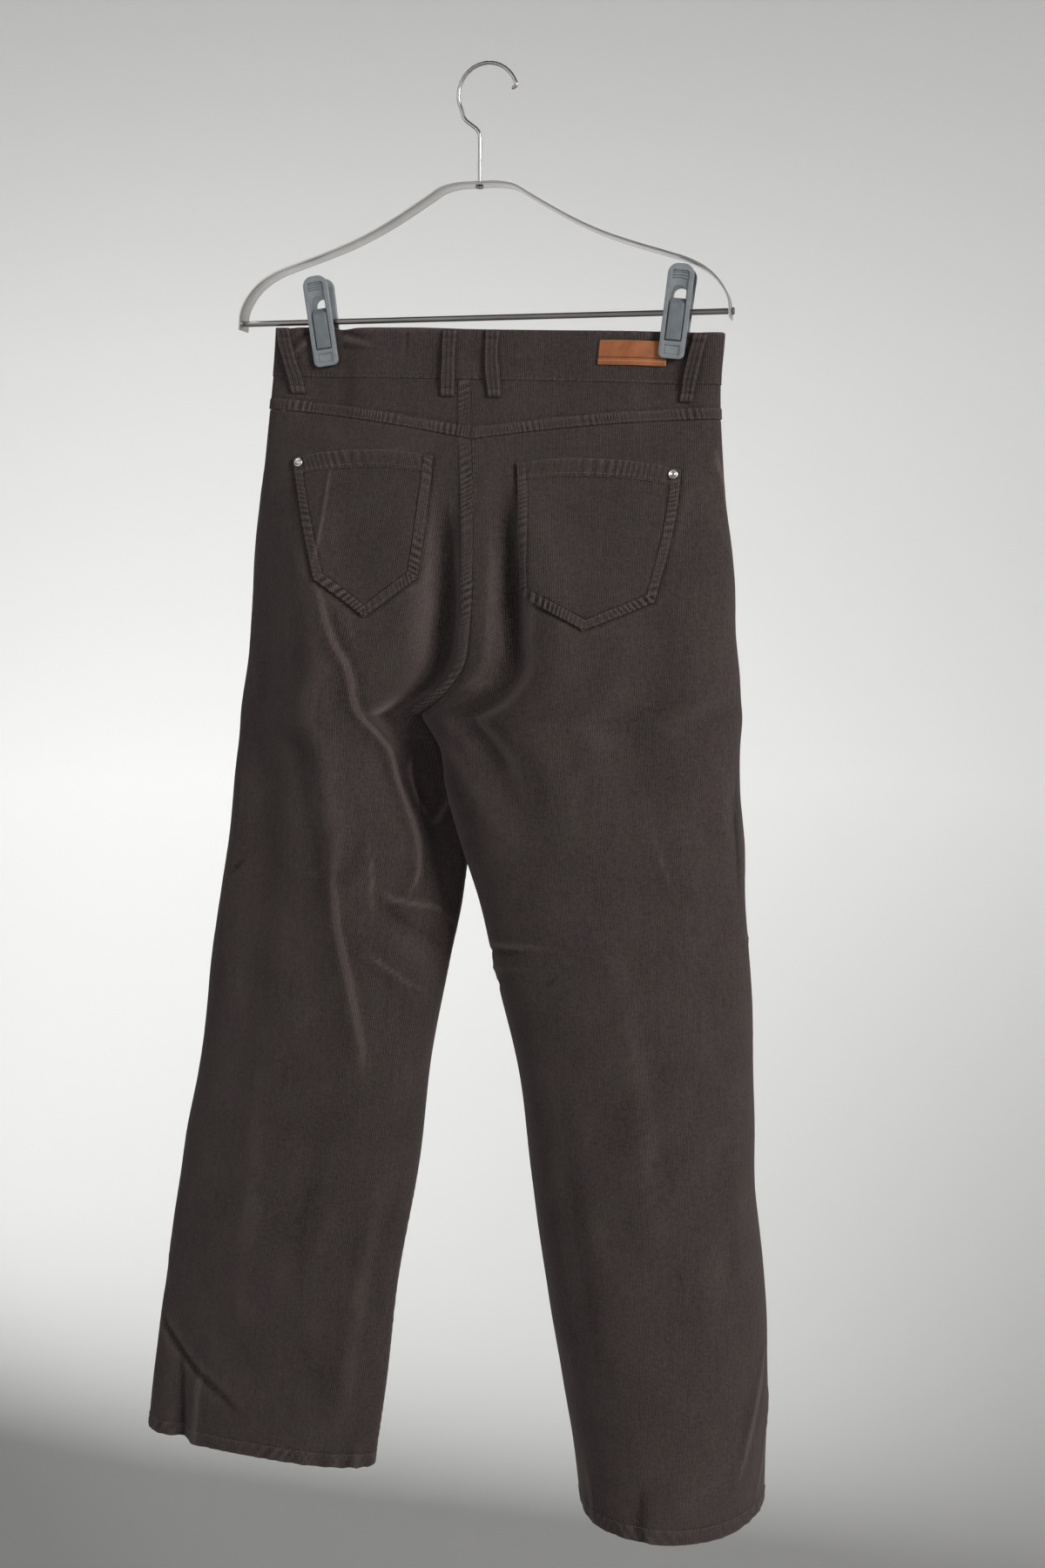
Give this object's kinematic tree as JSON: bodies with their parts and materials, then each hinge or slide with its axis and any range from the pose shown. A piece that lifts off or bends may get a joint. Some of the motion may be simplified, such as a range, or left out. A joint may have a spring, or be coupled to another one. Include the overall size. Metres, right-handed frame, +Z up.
{
  "type": "corduroy trousers on a clip hanger",
  "caption": "Wide straight-leg corduroy trousers hanging from a steel clip hanger, with yokes, belt loops, patch pockets and a leather patch.",
  "frame": {"origin": "inner top of the hook, the point that the hanger hangs on", "axes": "+Z up, +X along the hanger's bar towards the trousers' right leg as seen from behind, +Y towards the front of the trousers"},
  "size_m": [0.6057, 0.1509, 1.2652],
  "materials": {
    "corduroy": "fine-wale corduroy, matt",
    "leather": "smooth, satin",
    "rivet_metal": "polished",
    "button_plastic": "satin",
    "steel": "satin",
    "clip_plastic": "satin",
    "spring_plastic": "matt"
  },
  "bodies": {
    "root": {"back_left": "corduroy", "back_right": "corduroy", "front_left": "corduroy", "front_right": "corduroy", "yoke_left": "corduroy", "yoke_right": "corduroy", "waistband_back": "corduroy", "waistband_front_left": "corduroy", "waistband_front_right": "corduroy", "belt_loop_1": "corduroy", "belt_loop_2": "corduroy", "belt_loop_3": "corduroy", "belt_loop_4": "corduroy", "belt_loop_5": "corduroy", "belt_loop_6": "corduroy", "back_pocket_left": "corduroy", "back_pocket_right": "corduroy", "fly_flap": "corduroy", "leather_patch": "leather", "rivet_left": "rivet_metal", "rivet_right": "rivet_metal", "waist_button": "button_plastic", "hanger_strap": "steel", "hanger_bar": "steel", "hanger_hook": "steel", "clip_left_back": "clip_plastic", "clip_left_front": "clip_plastic", "clip_right_back": "clip_plastic", "clip_right_front": "clip_plastic", "clip_left_spring": "spring_plastic", "clip_right_spring": "spring_plastic"}
  },
  "joints": []
}
